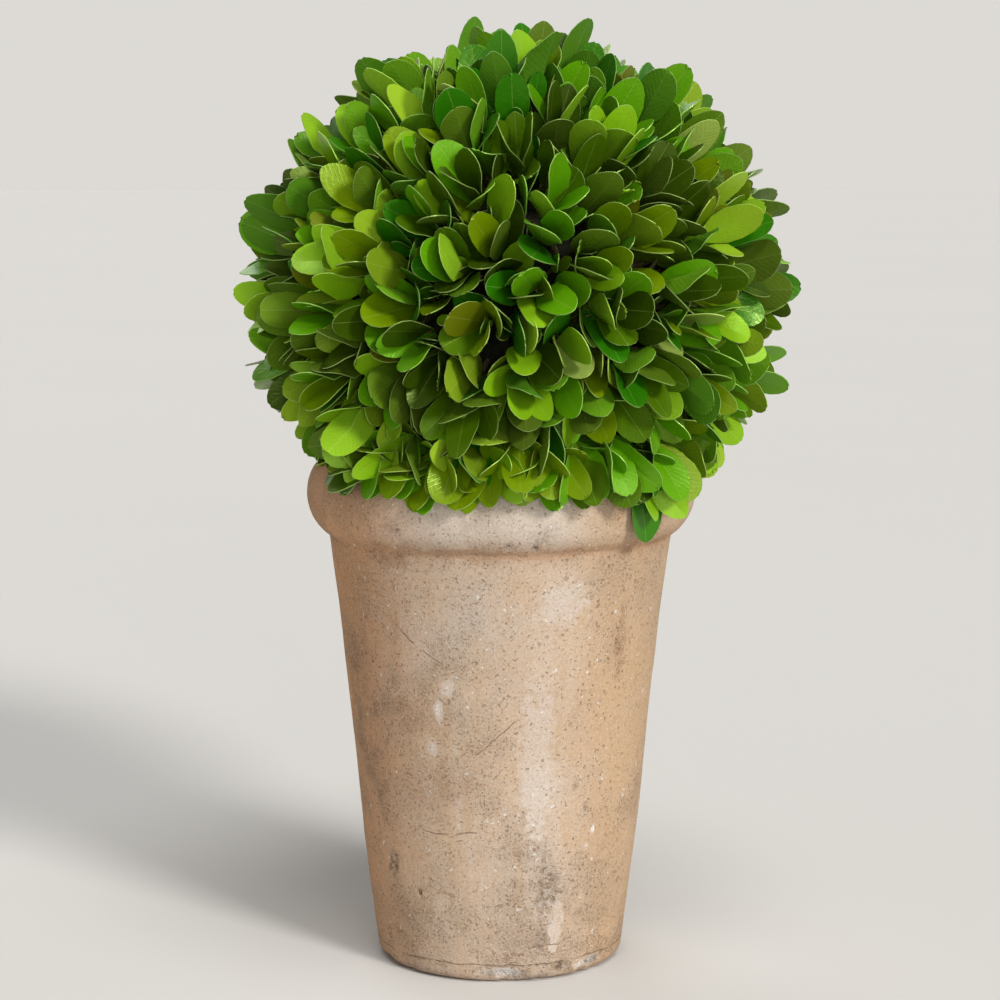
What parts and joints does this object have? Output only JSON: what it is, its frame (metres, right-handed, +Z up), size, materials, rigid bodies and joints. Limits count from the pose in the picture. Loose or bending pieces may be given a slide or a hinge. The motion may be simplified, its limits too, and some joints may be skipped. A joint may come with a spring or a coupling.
{
  "type": "potted box topiary ball",
  "caption": "Box foliage clipped to a leafy ball on a short hidden stem, sitting in the mouth of a tall tapered clay pot with a thick rolled rim.",
  "frame": {"origin": "centre of the pot's flat underside", "axes": "+Z up from the table through the pot and the ball; -Y is the side that the picture shows"},
  "size_m": [0.1775, 0.1754, 0.3057],
  "materials": {
    "clay": "unglazed, limewashed and weathered",
    "fill": "dry and crumbly",
    "bark": "rough bark",
    "foliage": "waxy evergreen leaf"
  },
  "bodies": {
    "root": {"pot": "clay", "pot_fill": "fill", "trunk": "bark", "clipped_ball": "foliage"}
  },
  "joints": []
}
